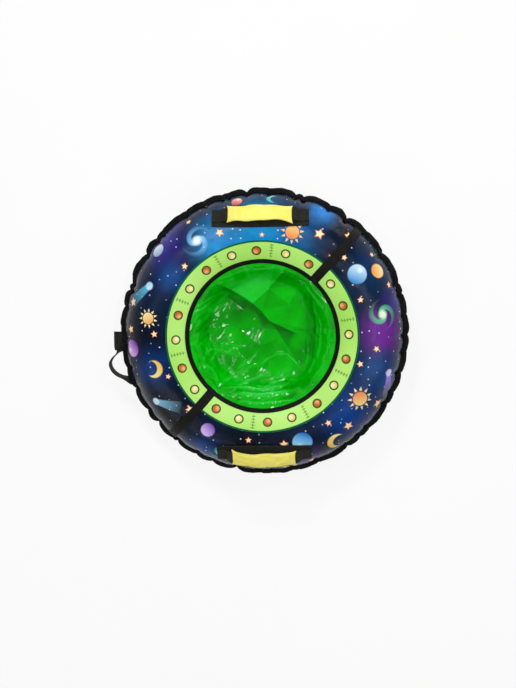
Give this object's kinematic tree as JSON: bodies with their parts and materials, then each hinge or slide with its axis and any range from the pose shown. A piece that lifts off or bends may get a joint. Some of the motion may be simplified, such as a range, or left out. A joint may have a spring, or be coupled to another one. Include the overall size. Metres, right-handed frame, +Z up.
{
  "type": "snow tube",
  "caption": "Round inflatable snow tube with a printed fabric cover, sunken film seat, two sleeved carry handles, a tow loop, and a zip in the base over the inner tube.",
  "frame": {"origin": "middle of the flat base, on the ground", "axes": "+Z up along the axis of the ring, +Y towards the upper handle, +X to the right of someone who looks down with the upper handle at the top; the tow loop is on the -X side"},
  "size_m": [0.9951, 0.9484, 0.2679],
  "materials": {
    "printed_fabric": "printed oxford weave, coated, navy with a lime band round the hole",
    "base_tarpaulin": "reinforced PVC tarpaulin, satin",
    "seat_film": "glossy PVC film with packing creases",
    "binding_tape": "black woven binding tape",
    "butyl_rubber": "smooth butyl",
    "webbing": "black polypropylene webbing",
    "tow_webbing": "dark polypropylene webbing",
    "sleeve_fabric": "yellow coated fabric",
    "zip_tape": "black woven zip tape",
    "moulded_plastic": "moulded acetal",
    "zinc": "die-cast zinc, dark nickel",
    "brass": "turned brass"
  },
  "bodies": {
    "cover": {"cover_top": "printed_fabric", "cover_base": "base_tarpaulin", "seat": "seat_film", "rim_binding": "binding_tape", "hole_binding": "binding_tape", "inner_tube": "butyl_rubber", "upper_radial_strap": "webbing", "lower_radial_strap": "webbing", "upper_handle_end_left": "webbing", "upper_handle_end_right": "webbing", "lower_handle_end_left": "webbing", "lower_handle_end_right": "webbing", "tow_loop_upper_tab": "tow_webbing", "tow_loop_lower_tab": "tow_webbing", "zip_tape_inner": "zip_tape", "zip_tape_outer": "zip_tape", "zip_teeth_inner": "moulded_plastic", "zip_teeth_outer": "moulded_plastic", "zip_end_stop": "zinc", "zip_start_stop": "zinc", "valve_patch": "butyl_rubber", "valve_stem": "brass", "valve_core": "brass"},
    "upper_handle": {"upper_handle_webbing": "webbing", "upper_handle_sleeve": "sleeve_fabric"},
    "lower_handle": {"lower_handle_webbing": "webbing", "lower_handle_sleeve": "sleeve_fabric"},
    "tow_loop": {"tow_loop": "tow_webbing"},
    "zip_slider": {"zip_slider": "zinc"},
    "zip_pull": {"zip_pull": "zinc"},
    "valve_cap": {"valve_cap": "moulded_plastic"}
  },
  "joints": [
    {"name": "upper_handle_swing", "type": "hinge", "parent": "cover", "child": "upper_handle", "pos_m": [-0.0069, 0.3951, 0.22625], "axis": [0.9998, 0.0175, 0], "range_deg": [-20, 20]},
    {"name": "lower_handle_swing", "type": "hinge", "parent": "cover", "child": "lower_handle", "pos_m": [0.0069, -0.3951, 0.22625], "axis": [-0.9998, -0.0175, 0], "range_deg": [-20, 20]},
    {"name": "tow_loop_swing", "type": "hinge", "parent": "cover", "child": "tow_loop", "pos_m": [-0.49, -0.1135, 0.11775], "axis": [0, -1, 0], "range_deg": [-35, 35]},
    {"name": "zip_slider_travel", "type": "hinge", "parent": "cover", "child": "zip_slider", "pos_m": [0, 0, 0], "axis": [0, 0, 1], "range_deg": [-45.5, 0]},
    {"name": "zip_pull_flip", "type": "hinge", "parent": "zip_slider", "child": "zip_pull", "pos_m": [0.16457, -0.38975, 0.03142], "axis": [-0.2907, 0.6885, -0.6644], "range_deg": [0, 180]},
    {"name": "valve_cap_turn", "type": "hinge", "parent": "cover", "child": "valve_cap", "pos_m": [0, 0.20328, 0.06769], "axis": [0, -0.8676, -0.4973], "continuous": true}
  ]
}
